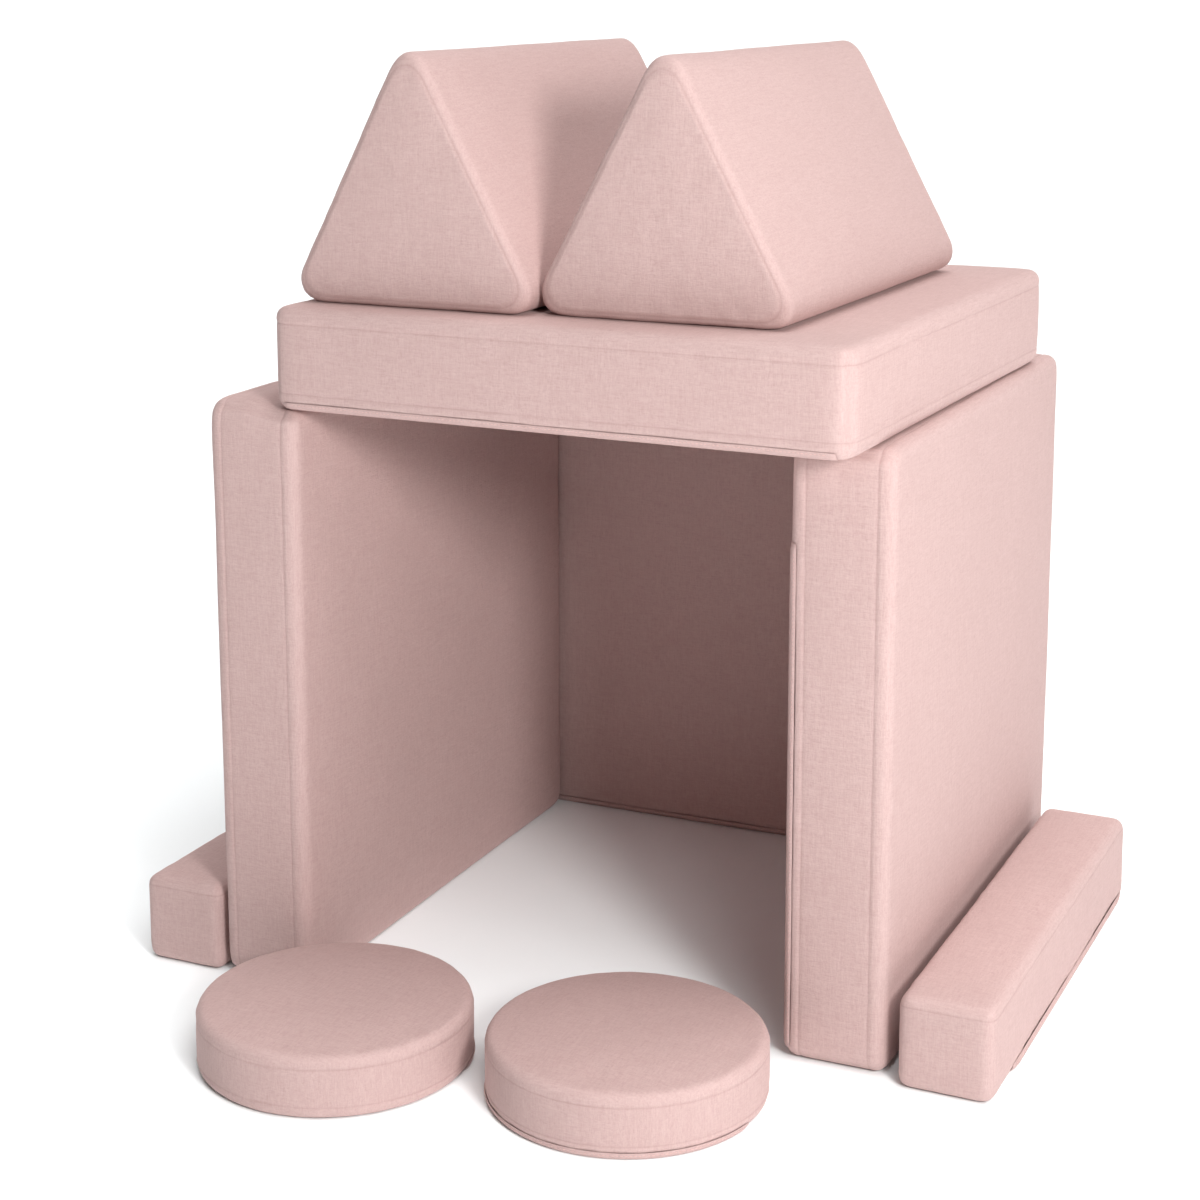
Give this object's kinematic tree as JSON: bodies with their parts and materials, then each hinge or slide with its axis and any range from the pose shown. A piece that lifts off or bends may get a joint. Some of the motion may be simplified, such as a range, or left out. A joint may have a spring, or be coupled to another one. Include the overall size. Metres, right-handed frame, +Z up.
{
  "type": "modular foam play sofa",
  "caption": "Foam play sofa for children in blush woven covers, its loose cushions stacked as a little house.",
  "frame": {"origin": "on the floor, under the middle of the whole set's bounding box", "axes": "+Z up, +X to the right as seen from the open front, +Y from the open front to the back wall"},
  "size_m": [1.1216, 1.189, 1.1816],
  "materials": {
    "cover": "woven, matt",
    "foam": "open-cell foam, matt",
    "tape": "woven, matt",
    "slider": "lacquered",
    "flap": "woven, matt"
  },
  "bodies": {
    "back_wall": {"back_wall_cover": "cover", "back_wall_core": "foam", "back_wall_zip": "tape", "back_wall_flap": "flap"},
    "back_wall_slider": {"back_wall_slider": "slider"},
    "left_wall": {"left_wall_cover": "cover", "left_wall_core": "foam", "left_wall_zip": "tape", "left_wall_flap": "flap"},
    "left_wall_slider": {"left_wall_slider": "slider"},
    "right_wall": {"right_wall_cover": "cover", "right_wall_core": "foam", "right_wall_zip": "tape", "right_wall_flap": "flap"},
    "right_wall_slider": {"right_wall_slider": "slider"},
    "roof": {"roof_cover": "cover", "roof_core": "foam", "roof_zip": "tape", "roof_flap": "flap"},
    "roof_slider": {"roof_slider": "slider"},
    "left_prism": {"left_prism_cover": "cover", "left_prism_core": "foam", "left_prism_zip": "tape", "left_prism_flap": "flap"},
    "left_prism_slider": {"left_prism_slider": "slider"},
    "right_prism": {"right_prism_cover": "cover", "right_prism_core": "foam", "right_prism_zip": "tape", "right_prism_flap": "flap"},
    "right_prism_slider": {"right_prism_slider": "slider"},
    "left_bar": {"left_bar_cover": "cover", "left_bar_core": "foam", "left_bar_zip": "tape", "left_bar_flap": "flap"},
    "left_bar_slider": {"left_bar_slider": "slider"},
    "right_bar": {"right_bar_cover": "cover", "right_bar_core": "foam", "right_bar_zip": "tape", "right_bar_flap": "flap"},
    "right_bar_slider": {"right_bar_slider": "slider"},
    "left_disc": {"left_disc_cover": "cover", "left_disc_core": "foam", "left_disc_zip": "tape", "left_disc_flap": "flap"},
    "left_disc_slider": {"left_disc_slider": "slider"},
    "right_disc": {"right_disc_cover": "cover", "right_disc_core": "foam", "right_disc_zip": "tape", "right_disc_flap": "flap"},
    "right_disc_slider": {"right_disc_slider": "slider"}
  },
  "joints": [
    {"name": "left_wall_pull", "type": "slide", "parent": "back_wall", "child": "left_wall", "axis": [-1, 0, 0], "range_m": [0, 0.3]},
    {"name": "right_wall_pull", "type": "slide", "parent": "back_wall", "child": "right_wall", "axis": [1, 0, 0], "range_m": [0, 0.3]},
    {"name": "left_bar_pull", "type": "slide", "parent": "left_wall", "child": "left_bar", "axis": [-1, 0, 0], "range_m": [0, 0.2]},
    {"name": "right_bar_pull", "type": "slide", "parent": "right_wall", "child": "right_bar", "axis": [1, 0, 0], "range_m": [0, 0.2]},
    {"name": "roof_lift", "type": "slide", "parent": "back_wall", "child": "roof", "axis": [0, 0, 1], "range_m": [0, 0.25]},
    {"name": "left_prism_lift", "type": "slide", "parent": "roof", "child": "left_prism", "axis": [0, 0, 1], "range_m": [0, 0.25]},
    {"name": "right_prism_lift", "type": "slide", "parent": "roof", "child": "right_prism", "axis": [0, 0, 1], "range_m": [0, 0.25]},
    {"name": "left_disc_lift", "type": "slide", "parent": "back_wall", "child": "left_disc", "axis": [0, 0, 1], "range_m": [0, 0.15]},
    {"name": "right_disc_lift", "type": "slide", "parent": "back_wall", "child": "right_disc", "axis": [0, 0, 1], "range_m": [0, 0.15]},
    {"name": "back_wall_zip", "type": "slide", "parent": "back_wall", "child": "back_wall_slider", "axis": [1, 0, 0], "range_m": [0, 0.676]},
    {"name": "left_wall_zip", "type": "slide", "parent": "left_wall", "child": "left_wall_slider", "axis": [0, 0, -1], "range_m": [0, 0.676]},
    {"name": "right_wall_zip", "type": "slide", "parent": "right_wall", "child": "right_wall_slider", "axis": [0, 0, -1], "range_m": [0, 0.5785]},
    {"name": "roof_zip", "type": "slide", "parent": "roof", "child": "roof_slider", "axis": [0.9997, -0.0262, 0], "range_m": [0, 0.676]},
    {"name": "left_prism_zip", "type": "slide", "parent": "left_prism", "child": "left_prism_slider", "axis": [-0.0227, -0.9997, 0], "range_m": [0, 0.5426]},
    {"name": "right_prism_zip", "type": "slide", "parent": "right_prism", "child": "right_prism_slider", "axis": [-0.0227, -0.9997, 0], "range_m": [0, 0.5426]},
    {"name": "left_bar_zip", "type": "slide", "parent": "left_bar", "child": "left_bar_slider", "axis": [0, -1, 0], "range_m": [0, 0.61896]},
    {"name": "right_bar_zip", "type": "slide", "parent": "right_bar", "child": "right_bar_slider", "axis": [0, 1, 0], "range_m": [0, 0.61896]},
    {"name": "left_disc_zip", "type": "hinge", "parent": "left_disc", "child": "left_disc_slider", "pos_m": [-0.1885, -0.43, 0.03825], "axis": [0, 0, 1], "range_deg": [0, 148.12]},
    {"name": "right_disc_zip", "type": "hinge", "parent": "right_disc", "child": "right_disc_slider", "pos_m": [0.1637, -0.3679, 0.03825], "axis": [0, 0, 1], "range_deg": [0, 148.12]}
  ]
}
